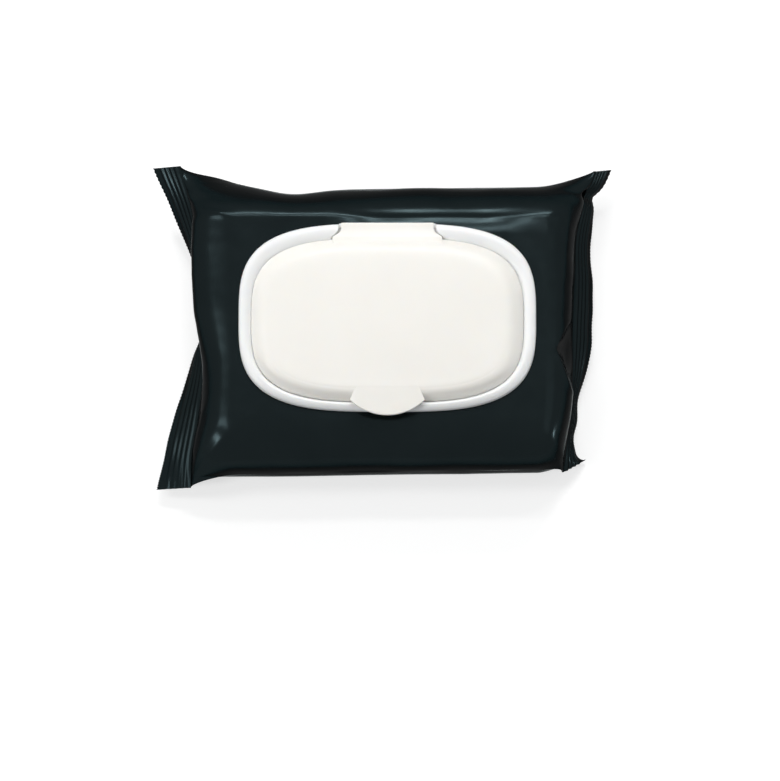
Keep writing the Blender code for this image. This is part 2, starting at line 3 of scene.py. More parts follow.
import bmesh
import bpy
import numpy as np
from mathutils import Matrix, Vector

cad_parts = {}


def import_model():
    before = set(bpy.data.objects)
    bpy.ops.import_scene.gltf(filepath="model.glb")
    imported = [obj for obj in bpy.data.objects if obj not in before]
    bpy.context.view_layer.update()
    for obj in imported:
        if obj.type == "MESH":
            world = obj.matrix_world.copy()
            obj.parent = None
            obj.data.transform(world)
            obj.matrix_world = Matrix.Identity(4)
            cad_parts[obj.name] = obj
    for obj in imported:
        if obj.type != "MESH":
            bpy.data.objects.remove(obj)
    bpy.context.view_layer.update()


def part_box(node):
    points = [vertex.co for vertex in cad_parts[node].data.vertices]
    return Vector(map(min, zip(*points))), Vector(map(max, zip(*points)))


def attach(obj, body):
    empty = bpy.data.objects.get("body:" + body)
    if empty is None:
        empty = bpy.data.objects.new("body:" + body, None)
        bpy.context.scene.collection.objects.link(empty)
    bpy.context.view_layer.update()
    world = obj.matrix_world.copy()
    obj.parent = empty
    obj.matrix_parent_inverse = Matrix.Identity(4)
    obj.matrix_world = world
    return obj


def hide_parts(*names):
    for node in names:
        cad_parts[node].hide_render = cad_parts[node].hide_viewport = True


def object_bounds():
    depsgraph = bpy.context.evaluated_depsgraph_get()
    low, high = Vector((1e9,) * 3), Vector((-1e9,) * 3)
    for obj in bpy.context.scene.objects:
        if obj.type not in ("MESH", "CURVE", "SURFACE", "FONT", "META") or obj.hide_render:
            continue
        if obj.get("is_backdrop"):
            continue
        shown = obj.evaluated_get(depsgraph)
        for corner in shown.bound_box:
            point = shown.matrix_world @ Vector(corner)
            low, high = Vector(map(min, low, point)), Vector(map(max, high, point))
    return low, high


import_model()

# Sizes in metres, as in the solids, so that each dressed piece sits where its solid sits. Only the left
# seal's front rows, PINCH_Y, RIM_FRONT_WIDTH, LID_CLEARANCE and LID_SHOULDER_FRONT differ, by up to 3.2 mm
BODY_LENGTH, BODY_WIDTH, PACK_HEIGHT = 0.1310, 0.1052, 0.0320
END_RUN, NOSE_POWER, GATHER_POWER = 0.0118, 2.5, 1.5
FRONT_FLAT, FRONT_POWER, FRONT_SKEW = 0.0350, 2.3, -0.015
BACK_FLAT, BACK_POWER, BACK_SKEW = 0.0380, 1.5, 0.012
UNDER_POWER = 2.6
SEAL_LENGTH, SEAL_WIDTH, SEAL_THICKNESS = 0.1190, 0.0125, 0.0006
CRIMP_COUNT, CRIMP_PITCH, CRIMP_DEPTH, CRIMP_START = 4, 0.0022, 0.0004, 0.0010
SEAM_WIDTH, SEAM_THICKNESS, SEAM_CHANNEL_SIDE, SEAM_END_FADE = 0.0110, 0.0006, 0.0016, 0.12
# Rows of a seal: share along it from the front to the back, metres beyond the body's end, spread, height
# as a share of the pack's, droop and splay in degrees, metres of bulge in the film before it
LEFT_SEAL = (
    (-1.00, 0.0047, 0.95, 0.28, 13, 0, 0.0000),
    (-0.80, 0.0044, 0.985, 0.325, 33, 0, 0.0000),
    (-0.55, 0.0022, 1.02, 0.37, 38, 0, 0.0000),
    (-0.25, -0.0003, 1.04, 0.44, 56, 0, 0.0012),
    (0.10, -0.0010, 1.01, 0.47, 80, 0, 0.0054),
    (0.45, 0.0004, 1.01, 0.50, 72, 0, 0.0052),
    (0.75, 0.0040, 1.00, 0.56, 55, 3, 0.0015),
    (1.00, 0.0090, 1.01, 0.62, 38, 8, 0.0000),
)
RIGHT_SEAL = (
    (-1.00, -0.0030, 0.85, 0.26, 33, 37, 0.0000),
    (-0.75, -0.0022, 0.97, 0.41, 69, 20, 0.0000),
    (-0.50, -0.0004, 1.00, 0.41, 79, 0, 0.0010),
    (0.00, 0.0006, 1.00, 0.47, 54, 0, 0.0000),
    (0.30, 0.0014, 1.01, 0.47, 57, 0, 0.0000),
    (0.60, 0.0020, 1.01, 0.48, 62, 5, 0.0000),
    (0.80, 0.0047, 0.98, 0.50, 69, 14, 0.0000),
    (1.00, 0.0089, 0.99, 0.53, 55, 30, 0.0000),
)
PINCH_Y, PINCH_LENGTH, PINCH_SPREAD = -0.0107, 0.0058, 2.3
PINCH_DEPTH, PINCH_SEAL_POWER = 0.0034, 4
DIP_X, DIP_LENGTH, DIP_DEPTH, DIP_START_SHARE = -0.034, 0.011, 0.0020, 0.55
EAR_X, EAR_LENGTH, EAR_RISE = -0.060, 0.013, 0.0032
CONTACT_GAP = 0.0003

FRAME_LENGTH, FRAME_DEPTH, FRAME_POWER = 0.1060, 0.0693, 3.27
PLATE_THICKNESS, RIM_HEIGHT = 0.0009, 0.0028
RIM_SIDE_WIDTH, RIM_FRONT_WIDTH, RIM_BACK_WIDTH = 0.0043, 0.0031, 0.0053
COLLAR_HEIGHT, COLLAR_WALL = 0.0026, 0.0012
OPENING_LENGTH, OPENING_DEPTH, OPENING_POWER = 0.0600, 0.0330, 2.6
LID_WALL, LID_CLEARANCE, LID_LIFT = 0.0010, 0.00028, 0.0003
LID_CREASE_HEIGHT, LID_CROWN = 0.0056, 0.0006
LID_SHOULDER_SIDE, LID_SHOULDER_FRONT, LID_SHOULDER_BACK = 0.0050, 0.0038, 0.0053
SKIRT_WALL, SKIRT_CLEARANCE, SKIRT_LIFT = 0.0008, 0.0005, 0.0007
TAB_WIDTH, TAB_NECK_WIDTH, TAB_OVERHANG = 0.0266, 0.0192, 0.0025
TAB_SAGITTA, TAB_LENGTH, TAB_ROOT_DEPTH, TAB_THICKNESS = 0.0056, 0.0106, 0.0030, 0.0011
STRAP_WIDTH, STRAP_FLARE, STRAP_THICKNESS, STRAP_ROOT_DEPTH = 0.0330, 0.0030, 0.0010, 0.0014
HINGE_HEIGHT, HINGE_GAP, SILL_DEPTH, NOTCH_GAP = 0.0022, 0.0003, 0.0016, 0.0007
STACK_END_ROOM, STACK_SIDE_ROOM, STACK_CORNER_POWER = 0.0095, 0.0090, 7.0
WIPE_THICKNESS, TOP_WIPE_INSET, FILM_WALL = 0.0010, 0.0060, 0.0004

LEFT, RIGHT = -1, 1
FRONT, BACK = -1, 1
UPPER, LOWER = 1, -1
HALF_HEIGHT = PACK_HEIGHT / 2
HALF_SEAL = SEAL_LENGTH / 2
FLAT_END = BODY_LENGTH / 2 - END_RUN
FRAME_BASE = PACK_HEIGHT + CONTACT_GAP
HINGE_Y = FRAME_DEPTH / 2 - STRAP_THICKNESS / 2
HINGE_Z = FRAME_BASE + HINGE_HEIGHT
STEP = 0.001

# Creases of the film: heights, lengths and places in metres, shares from -1 to 1
DENT_HEIGHT, DENT_LENGTHS = 0.00020, (0.022, 0.050)
WRINKLE_HEIGHT, WRINKLE_LENGTHS = 0.00003, (0.006, 0.013)
PLEAT_HEIGHT, PLEAT_LENGTHS = 0.00010, (0.005, 0.013)
PLEAT_START, PLEAT_RUN, PLEAT_FADE = 0.019, 0.022, 3.0
PUCKER_SHARE, PUCKER_RUN, PUCKER_GAIN = 0.35, 0.3, 1.2
FAN_HEIGHT, FAN_REACH, FAN_TURN = {FRONT: 0.00016, BACK: 0.00006}, 0.018, 0.20
FAN_OUT_X, FAN_OUT_Y, FAN_CLEAR = 0.005, 0.002, 0.006
UNDER_CREASE, FRAME_CLEAR, FRAME_FADE, PINCH_CLEAR, EDGE_FADE = 0.6, 0.001, 0.006, 0.0004, 0.03
SLOPE_LEFT, SLOPE_LEFT_RUN, SLOPE_RIGHT, SLOPE_RIGHT_RUN = -0.024, 0.024, 0.066, 0.034
SLOPE_START, SLOPE_RUN, SLOPE_DEPTH, SLOPE_POWER = 0.0315, 0.0085, 0.0014, 1.5
SLOPE_END, SLOPE_END_RUN = 0.0500, 0.009
ROUNDING_DEPTH, ROUNDING_Y, ROUNDING_WIDTH = 0.00030, 0.0385, 0.0024
EAR_FOLD_DEPTH, EAR_FOLD_SHARE, EAR_FOLD_WIDTH, EAR_FOLD_POWER = 0.0022, 0.862, 0.036, 1.7
RIDGE_TAPER, RIDGE_SOFTENING = 0.18, 6
SEAL_WAVE_HEIGHT, SEAL_WAVE_LENGTHS = 0.00035, (0.010, 0.030)
TOOTH_DEPTH, TOOTH_RUN, THIN_RUN, THIN_SHARE = 0.00022, 0.0011, 0.0008, 0.55
SEAM_POINTS, SEAM_RIB_HEIGHT, SEAM_RIB_COUNT, SEAM_SINK = 41, 0.00012, 6, 0.00008
HOLE_MARGIN = 0.0012

# The frame and the lid: rows of a share of the width with the height at the back and at the front
RIM_PROFILE = (
    (0.0, 0.34, 0.26),
    (0.03, 0.62, 0.44),
    (0.12, 0.84, 0.63),
    (0.28, 0.96, 0.80),
    (0.46, 1.0, 0.93),
    (0.62, 0.95, 1.0),
    (0.76, 0.86, 0.97),
    (0.88, 0.74, 0.84),
    (0.97, 0.60, 0.62),
    (1.02, 0.46, 0.44),
)
RIM_FOOT, RIM_CHANGE_START, RIM_CHANGE_RUN = 1.08, 0.004, 0.018
CROWN_SHARES = (0.06, 0.2, 0.4, 0.6, 0.78, 0.88)
SHOULDER_PROFILE = (
    (1.30, 1.008, 1.032),
    (1.08, 0.972, 1.010),
    (1.00, 0.950, 0.986),
    (0.94, 0.930, 0.984),
    (0.84, 0.892, 0.962),
    (0.66, 0.795, 0.895),
    (0.46, 0.640, 0.755),
    (0.28, 0.445, 0.545),
    (0.13, 0.245, 0.310),
    (0.03, 0.110, 0.130),
)
SHOULDER_CHANGE_START, SHOULDER_CHANGE_RUN = 0.010, 0.010
UNDERSIDE_PROFILE = ((0.16, 0.1), (0.4, 0.4), (0.66, 0.64))
SKIRT_FILLET, SKIRT_ROUNDING, COLLAR_ROUNDING = 0.0006, 0.0002, 0.86
NOTCH_SHARE, NOTCH_SLOPE = 0.55, 0.0012
STRAP_EXTRA_ROOT, STRAP_RISE, STRAP_RISE_POWER, STRAP_TURN = 0.0012, 0.0008, 1.6, 1.35
TAB_LIFT, TAB_BEVEL, STRAP_BEVEL, SILL_BEVEL = 0.00004, 0.00022, 0.00018, 0.00015

# The wipes
WIPE_COUNT, WIPE_JITTER, WIPE_INSETS = 24, 0.0006, (0.0011, 0.00035, 0.0, 0.0, 0.00035, 0.0011)
STACK_ROUNDING, STACK_ROUNDING_START, STACK_ROUNDING_POWER = 0.0058, 0.6, 2.2
SHEET_THICKNESS, SHEET_ROOM, SHEET_SHORT = 0.0003, 0.00018, 0.0012
SHEET_CREASE, SHEET_CREASE_LENGTHS = 0.00012, (0.008, 0.026)

# The studio
FLOOR_SIZE, FLOOR_DROP, FLOOR_COLOUR = 6.0, 0.0002, 0.70
FLOOR_SHADOW, FLOOR_GLOW = 0.56, 0.62
CAMERA_LENS, CAMERA_SENSOR, CAMERA_ELEVATION, CAMERA_DISTANCE = 400.0, 36.0, 75, 3.09
CAMERA_RIGHT, CAMERA_LOWER, LID_TOP_Z = 0.00096, 0.0263, 0.034
SEEN_DEPTH, SEEN_RISE = 0.966, 0.259

# Everything below is counted from the lid's middle, as in the solids
low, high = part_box("lid_frame")
LID_MIDDLE = np.array([(low[0] + high[0]) / 2, (low[1] + high[1]) / 2, 0.0])

# Fineness
SHARES = np.linspace(-1, 1, 199)
BODY_RINGS, NOSE_RINGS, SEAL_RINGS = 41, 36, 31
OUTLINE_POINTS, STACK_POINTS = 256, 160


# Helpers
def new_object(name, data):
    made = bpy.data.objects.new(name, data)
    bpy.context.scene.collection.objects.link(made)
    return made


def add_piece(name, mesh, finish, body, smooth_angle=40):
    """A visible piece that rides on a body and shows a material slot of the solids."""
    made = new_object(name, mesh)
    mesh.materials.clear()
    mesh.materials.append(finish)
    mesh.shade_smooth()
    mesh.set_sharp_from_angle(angle=math.radians(smooth_angle))
    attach(made, body)
    return made


def mesh_from(name, points, faces):
    """A mesh of points counted from the lid's middle, with its doubles merged and its faces outward."""
    mesh = bpy.data.meshes.new(name)
    mesh.from_pydata((np.asarray(points) + LID_MIDDLE).tolist(), [], faces)
    shape = bmesh.new()
    shape.from_mesh(mesh)
    bmesh.ops.remove_doubles(shape, verts=shape.verts, dist=1e-6)
    bmesh.ops.recalc_face_normals(shape, faces=shape.faces)
    shape.to_mesh(mesh)
    shape.free()
    mesh.update()
    return mesh


def tube(rings, loop=False):
    """Points and faces of a tube through closed rings, capped at both ends or joined into a loop."""
    rings = [np.asarray(ring) for ring in rings]
    count = len(rings[0])
    last = (len(rings) - 1) * count
    starts = [(i * count, (i + 1) * count) for i in range(len(rings) - 1)]
    if loop:
        starts.append((last, 0))
    faces = [
        (below + i, below + (i + 1) % count, above + (i + 1) % count, above + i)
        for below, above in starts
        for i in range(count)
    ]
    if not loop:
        faces.append(tuple(range(count))[::-1])
        faces.append(tuple(last + i for i in range(count)))
    return np.concatenate(rings), faces


def chaikin(rings, times):
    """Rounds a profile of rings by cutting its corners at a quarter. The rings at the ends stay."""
    rings = [np.asarray(ring) for ring in rings]
    for _ in range(times):
        rounded = [rings[0]]
        for before, here, after in zip(rings, rings[1:], rings[2:]):
            rounded += [here * 0.75 + before * 0.25, here * 0.75 + after * 0.25]
        rings = rounded + [rings[-1]]
    return rings


def bevel_mesh(mesh, offset, segments, angle=30):
    """Rounds the edges that turn by more than the angle, in degrees."""
    shape = bmesh.new()
    shape.from_mesh(mesh)
    edges = [e for e in shape.edges if e.is_manifold and e.calc_face_angle() > math.radians(angle)]
    bmesh.ops.bevel(shape, geom=edges, offset=offset, segments=segments, affect="EDGES", profile=0.5)
    shape.to_mesh(mesh)
    shape.free()
    return mesh


def combine(name, base, tools):
    """Boolean steps applied in code: a list of (mesh, operation)."""
    target = new_object(name + "_target", base)
    helpers = []
    for i, (mesh, operation) in enumerate(tools):
        tool = new_object(f"{name}_tool_{i}", mesh)
        step = target.modifiers.new(f"step_{i}", "BOOLEAN")
        step.operation = operation
        step.object = tool
        step.solver = "EXACT"
        helpers.append(tool)
    graph = bpy.context.evaluated_depsgraph_get()
    result = bpy.data.meshes.new_from_object(target.evaluated_get(graph))
    result.name = name
    for helper in helpers + [target]:
        bpy.data.objects.remove(helper)
    return result


def waves(seed, count, low_length, high_length, dims=3):
    """Random smooth waves: (vectors, phases, weights)."""
    rng = np.random.RandomState(seed)
    direction = rng.normal(size=(count, dims))
    direction /= np.linalg.norm(direction, axis=1, keepdims=True)
    length = np.exp(rng.uniform(np.log(low_length), np.log(high_length), count))
    phase = rng.uniform(0, 2 * math.pi, count)
    return direction * (2 * math.pi / length)[:, None], phase, length / high_length


def smooth_noise(points, seed, low_length, high_length, count=28):
    """A smooth random field of about -1 to 1 at the points."""
    vectors, phase, weight = waves(seed, count, low_length, high_length, points.shape[-1])
    value = np.cos(points @ vectors.T + phase) @ weight
    return value / np.sqrt((weight**2).sum() / 2) / 2


def line_noise(x, seed, low_length, high_length, count=24):
    """The same along a line."""
    return smooth_noise(x[..., None], seed, low_length, high_length, count)


def soft_step(value):
    """0 to 1 with a soft start and end."""
    value = np.clip(value, 0, 1)
    return value * value * (3 - 2 * value)


# The film, as in the solids
def through_knots(table, column, share):
    """A column of a seal's table, as a smooth curve through its rows."""
    knots = np.array([row[0] for row in table])
    values = np.array([row[column] for row in table])
    slopes = np.gradient(values, knots)
    place = np.clip(np.searchsorted(knots, share, side="right") - 1, 0, len(knots) - 2)
    span = knots[place + 1] - knots[place]
    s = (share - knots[place]) / span
    return (
        (2 * s**3 - 3 * s**2 + 1) * values[place]
        + (s**3 - 2 * s**2 + s) * span * slopes[place]
        + (3 * s**2 - 2 * s**3) * values[place + 1]
        + (s**3 - s**2) * span * slopes[place + 1]
    )


def shoulder_curve(flat, power):
    """The long edge's rounding: the share of its length, the place across and the height."""
    turn = np.linspace(0, math.pi / 2, 400)
    across = flat + (BODY_WIDTH / 2 - flat) * np.sin(turn) ** (2 / power)
    rise = HALF_HEIGHT * np.abs(np.cos(turn)) ** (2 / power)
    length = np.concatenate([[0], np.cumsum(np.hypot(np.diff(across), np.diff(rise)))])
    return length / length[-1], across, rise


FLAT = {FRONT: FRONT_FLAT, BACK: BACK_FLAT}
SKEW = {FRONT: FRONT_SKEW, BACK: BACK_SKEW}
SHOULDER = {
    (UPPER, FRONT): shoulder_curve(FRONT_FLAT, FRONT_POWER),
    (UPPER, BACK): shoulder_curve(BACK_FLAT, BACK_POWER),
    (LOWER, FRONT): shoulder_curve(FRONT_FLAT, UNDER_POWER),
    (LOWER, BACK): shoulder_curve(BACK_FLAT, UNDER_POWER),
}


def section(share, layer):
    """The body's cross-section: the place across, half the height and the lean of the ends."""
    across = share * HALF_SEAL
    rise = np.full_like(share, HALF_HEIGHT)
    lean = np.zeros_like(share)
    for end in (FRONT, BACK):
        beyond = (share * end * HALF_SEAL - FLAT[end]) / (HALF_SEAL - FLAT[end])
        fraction, shoulder_across, shoulder_rise = SHOULDER[layer, end]
        across = np.where(beyond > 0, end * np.interp(beyond, fraction, shoulder_across), across)
        rise = np.where(beyond > 0, np.interp(beyond, fraction, shoulder_rise), rise)
        run = BODY_WIDTH / 2 - FLAT[end]
        lean = lean + end * SKEW[end] * np.clip((across * end - FLAT[end]) / run, 0, 1)
    return across, np.maximum(rise, SEAL_THICKNESS / 2), lean


def line_points(table, share):
    """The line where the film's two layers meet and the seal begins."""
    out = BODY_LENGTH / 2 + through_knots(table, 1, share)
    across = share * HALF_SEAL * through_knots(table, 2, share)
    return np.stack([out, across, PACK_HEIGHT * through_knots(table, 3, share)], -1)


def seal_line(side, share):
    """The seal's line, the way the seal points from it and the seal's upward normal."""
    table = LEFT_SEAL if side == LEFT else RIGHT_SEAL
    droop = np.radians(through_knots(table, 4, share))
    splay = np.radians(through_knots(table, 5, share))
    outward = np.stack(
        [np.cos(droop) * np.cos(splay), np.cos(droop) * np.sin(splay), -np.sin(droop)], -1
    )
    near = line_points(table, np.clip(share - STEP, -1, 1))
    far = line_points(table, np.clip(share + STEP, -1, 1))
    normal = np.cross(outward, far - near)
    normal = normal / np.linalg.norm(normal, axis=-1, keepdims=True)
    return line_points(table, share), outward, normal


def pinch_depth(place, line_out, q):
    """The V-shaped pinch where the right end's upper film meets the seal."""
    along = np.clip(1 - (line_out - place[..., 0]) / PINCH_LENGTH, 0, 1)
    half_width = np.maximum(PINCH_SPREAD * PINCH_LENGTH * along, STEP * PINCH_LENGTH)
    beside = np.clip(np.abs(place[..., 1] - PINCH_Y) / half_width, 0, 1)
    return PINCH_DEPTH * along * (1 - beside**2) * (1 - q**PINCH_SEAL_POWER)


def bare_film(side, reach, share, layer):
    """The smooth film. Reach is 0 to 1 along the body and 1 to 2 round the end to the seal."""
    across, rise, lean = section(share, layer)
    q = float(np.clip(reach - 1, 0, 1))
    out = math.sin(q * math.pi / 2) ** (2 / NOSE_POWER)
    fall = abs(math.cos(q * math.pi / 2)) ** (2 / NOSE_POWER) if q < 1 else 0.0
    blend = out**GATHER_POWER
    line, _, normal = seal_line(side, share)
    table = LEFT_SEAL if side == LEFT else RIGHT_SEAL
    hump = q**2 * (1 - q) * 27 / 4
    bulge = through_knots(table, 6, share) * (layer == UPPER) * hump
    x = min(reach, 1) * FLAT_END + (line[..., 0] - FLAT_END) * out + bulge
    y = across + lean * side * x * (1 - blend) + (line[..., 1] - across) * blend
    z = line[..., 2] + (HALF_HEIGHT + layer * rise - line[..., 2]) * fall
    nearness = np.exp(-(((side * x - DIP_X) / DIP_LENGTH) ** 2))
    lowness = np.clip((share - DIP_START_SHARE) / (1 - DIP_START_SHARE), 0, 1)
    y = y - DIP_DEPTH * nearness * lowness**2
    nearness = np.exp(-(((side * x - EAR_X) / EAR_LENGTH) ** 2))
    y = y + EAR_RISE * nearness * lowness**2 * (1 - blend**2)
    place = np.stack([x, y, z], -1) + layer * SEAL_THICKNESS / 2 * (1 - fall) * normal
    if side == RIGHT and layer == UPPER:
        depth = pinch_depth(place, line[..., 0], q)
        place = place - np.stack([depth, 0 * depth, depth / 2], -1)
    return place


def film_normal(side, reach, share, layer):
    """The smooth film's normal, outward, from four places close by."""
    near = bare_film(side, max(reach - STEP, 0), share, layer)
    far = bare_film(side, min(reach + STEP, 2), share, layer)
    front = bare_film(side, reach, np.clip(share - STEP, -1, 1), layer)
    back = bare_film(side, reach, np.clip(share + STEP, -1, 1), layer)
    normal = layer * np.cross(far - near, back - front)
    return normal / np.maximum(np.linalg.norm(normal, axis=-1, keepdims=True), 1e-12)


def channel_depth(reach, share):
    """How deep the back seam's channel is pressed into the underside."""
    beside = (np.abs(share) * HALF_SEAL - SEAM_WIDTH / 2) / SEAM_CHANNEL_SIDE
    fade = np.clip((2 - reach) / SEAM_END_FADE, 0, 1)
    return (SEAM_THICKNESS + CONTACT_GAP) * np.clip(1 - beside, 0, 1) * fade


# Creases of the film
def frame_distance(place):
    """How far outside the lid frame a place is, in metres, below 0 inside."""
    x = np.abs(place[:, 0]) / (FRAME_LENGTH / 2)
    y = np.abs(place[:, 1]) / (FRAME_DEPTH / 2)
    radius = (x**FRAME_POWER + y**FRAME_POWER) ** (1 / FRAME_POWER)
    return (1 - 1 / np.maximum(radius, 1e-6)) * np.hypot(place[:, 0], place[:, 1])


def ear_fan(place, corner, seed, amplitude):
    """Creases that run out of a corner of the pack, deepest next to it."""
    away = place[:, :2] - corner
    distance = np.linalg.norm(away, axis=1)
    angle = np.arctan2(away[:, 1], away[:, 0])
    pleats = line_noise(angle, seed, FAN_TURN, FAN_TURN * 2.5)
    return amplitude * pleats * np.exp(-distance / FAN_REACH) * np.clip(distance / FAN_CLEAR, 0, 1)


def crease_height(side, reach, share, layer, place):
    """How far the film's creases lift it off its smooth form, at one ring."""
    world = place * np.array([side, 1, 1])
    near_seal = np.clip(reach - 1, 0, 1)
    height = DENT_HEIGHT * smooth_noise(world, 11 + layer, *DENT_LENGTHS)
    height = height + WRINKLE_HEIGHT * smooth_noise(world, 23 + layer, *WRINKLE_LENGTHS)
    pleats = line_noise(share * HALF_SEAL, 31 + side + 2 * layer, *PLEAT_LENGTHS)
    inward = np.clip((FLAT_END + PLEAT_START - place[:, 0]) / PLEAT_RUN, 0, 1)
    puckered = 1 + PUCKER_GAIN * np.clip((share - PUCKER_SHARE) / PUCKER_RUN, 0, 1) * (side == LEFT)
    height = height + PLEAT_HEIGHT * puckered * pleats * np.exp(-PLEAT_FADE * inward) * (1 - near_seal**8)
    for end in (FRONT, BACK):
        corner = np.array([side * (BODY_LENGTH / 2 + FAN_OUT_X), end * (BODY_WIDTH / 2 + FAN_OUT_Y)])
        height = height + ear_fan(world, corner, 41 + end + 3 * side + layer, FAN_HEIGHT[end])
    return height


def back_slope(world):
    """The right part of the back edge slopes away gently, the left part keeps its sharp ridge."""
    from_left = np.clip((world[:, 0] - SLOPE_LEFT) / SLOPE_LEFT_RUN, 0, 1)
    right = soft_step(from_left * np.clip((SLOPE_RIGHT - world[:, 0]) / SLOPE_RIGHT_RUN, 0, 1))
    away = np.clip((world[:, 1] - SLOPE_START) / SLOPE_RUN, 0, 1)
    fade = np.clip((SLOPE_END - world[:, 1]) / SLOPE_END_RUN, 0, 1)
    rounding = ROUNDING_DEPTH * np.exp(-(((world[:, 1] - ROUNDING_Y) / ROUNDING_WIDTH) ** 2))
    return right * (SLOPE_DEPTH * away**SLOPE_POWER * fade + rounding)


def seen_from_above(world):
    """Places as seen from 75 degrees above the front: across and up, from the lid's middle."""
    return np.stack([world[:, 0], world[:, 1] * SEEN_DEPTH + (world[:, 2] - LID_TOP_Z) * SEEN_RISE], 1)


def line_distance(places, points):
    """The distance in metres from a soft line through points in mm, and how far along it each place is."""
    knots = np.array(points) / 1000
    count = len(knots)
    fine = np.linspace(0, count - 1, 12 * count)
    line = np.stack([np.interp(fine, np.arange(count), knots[:, k]) for k in (0, 1)], 1)
    for _ in range(RIDGE_SOFTENING):
        line[1:-1] = (line[:-2] + 2 * line[1:-1] + line[2:]) / 4
    gap = np.linalg.norm(places[:, None, :] - line[None, :, :], axis=2)
    return gap.min(axis=1), gap.argmin(axis=1) / (len(line) - 1)


# Long creases: points across and up in mm, as seen_from_above gives them, the width and the height
RIDGES = (
    (((-71.3, 46.5), (-70.3, 42.5), (-67.6, 38.6), (-62.5, 37.2), (-54.0, 36.6)), 0.0013, 0.00035),
    (((65.5, 42.0), (64.0, 28.0), (62.0, 10.0), (60.8, -6.0), (60.3, -11.5)), 0.0016, 0.00026),
    (((60.3, -11.5), (63.3, -19.5), (66.6, -28.0)), 0.0009, 0.00030),
    (((-64.9, -30.5), (-66.6, -37.5), (-68.9, -46.5), (-69.4, -50.0)), 0.0008, 0.00030),
)


def ridge_height(world):
    """The height of the long creases, which are 0 at both ends."""
    seen = seen_from_above(world)
    height = np.zeros(len(world))
    for points, width, rise in RIDGES:
        gap, along = line_distance(seen, points)
        ends = np.clip(along / RIDGE_TAPER, 0, 1) * np.clip((1 - along) / RIDGE_TAPER, 0, 1)
        height = height + rise * np.exp(-((gap / width) ** 2)) * ends
    return height


def ear_fold(share):
    """The sharp fold across the right back ear."""
    return EAR_FOLD_DEPTH * np.exp(-np.abs((share - EAR_FOLD_SHARE) / EAR_FOLD_WIDTH) ** EAR_FOLD_POWER)


def film_point_ring(side, reach, layer):
    """One ring of the dressed film, from the front to the back."""
    place = bare_film(side, reach, SHARES, layer)
    normal = film_normal(side, reach, SHARES, layer)
    world = place * np.array([side, 1, 1])
    height = crease_height(side, reach, SHARES, layer, place)
    if layer == UPPER:
        height = height * np.clip((frame_distance(world) - FRAME_CLEAR) / FRAME_FADE, 0, 1)
        if side == RIGHT:
            pinched = pinch_depth(place, seal_line(side, SHARES)[0][..., 0], np.clip(reach - 1, 0, 1))
            height = height * np.clip(1 - pinched / PINCH_CLEAR, 0, 1)
        height = height - back_slope(world)
        height = height + ridge_height(world) * (1 if reach < 1.9 else (2 - reach) * 10)
    else:
        height = height * UNDER_CREASE - channel_depth(reach, SHARES)
    if side == RIGHT and reach > 1:
        height = height - ear_fold(SHARES) * (reach - 1) ** 2 * (layer == UPPER)
    elif reach >= 2:
        height = height * 0
    edge = np.clip((1 - np.abs(SHARES)) / EDGE_FADE, 0, 1)
    place = place + normal * (height * edge)[:, None]
    place[:, 2] = np.maximum(place[:, 2], 0.0)
    return place * np.array([side, 1, 1])


def seal_point_ring(side, width, layer):
    """One ring of the crimped seal, with a zigzag cut at its edge."""
    line, outward, normal = seal_line(side, SHARES)
    crimp = (width - CRIMP_START) / CRIMP_PITCH
    inside = 0 < crimp < CRIMP_COUNT
    ridge = CRIMP_DEPTH * (0.5 - 0.5 * math.cos(2 * math.pi * crimp)) * inside
    wave = SEAL_WAVE_HEIGHT * line_noise(SHARES * HALF_SEAL, 61 + side, *SEAL_WAVE_LENGTHS)
    wave = wave * np.clip((width - CRIMP_START) / SEAL_WIDTH, 0, 1)
    if side == RIGHT:
        wave = wave - ear_fold(SHARES)
    reach = np.full_like(SHARES, width)
    if width > SEAL_WIDTH - TOOTH_RUN:
        teeth = np.where(np.arange(len(SHARES)) % 2 == 0, TOOTH_DEPTH, -TOOTH_DEPTH)
        reach = reach + teeth * (width - SEAL_WIDTH + TOOTH_RUN) / TOOTH_RUN
    thick = SEAL_THICKNESS / 2 * (THIN_SHARE if width > SEAL_WIDTH - THIN_RUN else 1.0)
    place = line + reach[:, None] * outward + (ridge + wave + layer * thick)[:, None] * normal
    place[:, 2] = np.maximum(place[:, 2], 0.0001)
    return place * np.array([side, 1, 1])


def film_reaches():
    """The rings of one half: along the body, then round its end."""
    body = np.linspace(0, 1, BODY_RINGS)
    nose = 1 + np.linspace(0, 1, NOSE_RINGS)[1:]
    return np.concatenate([body, nose])


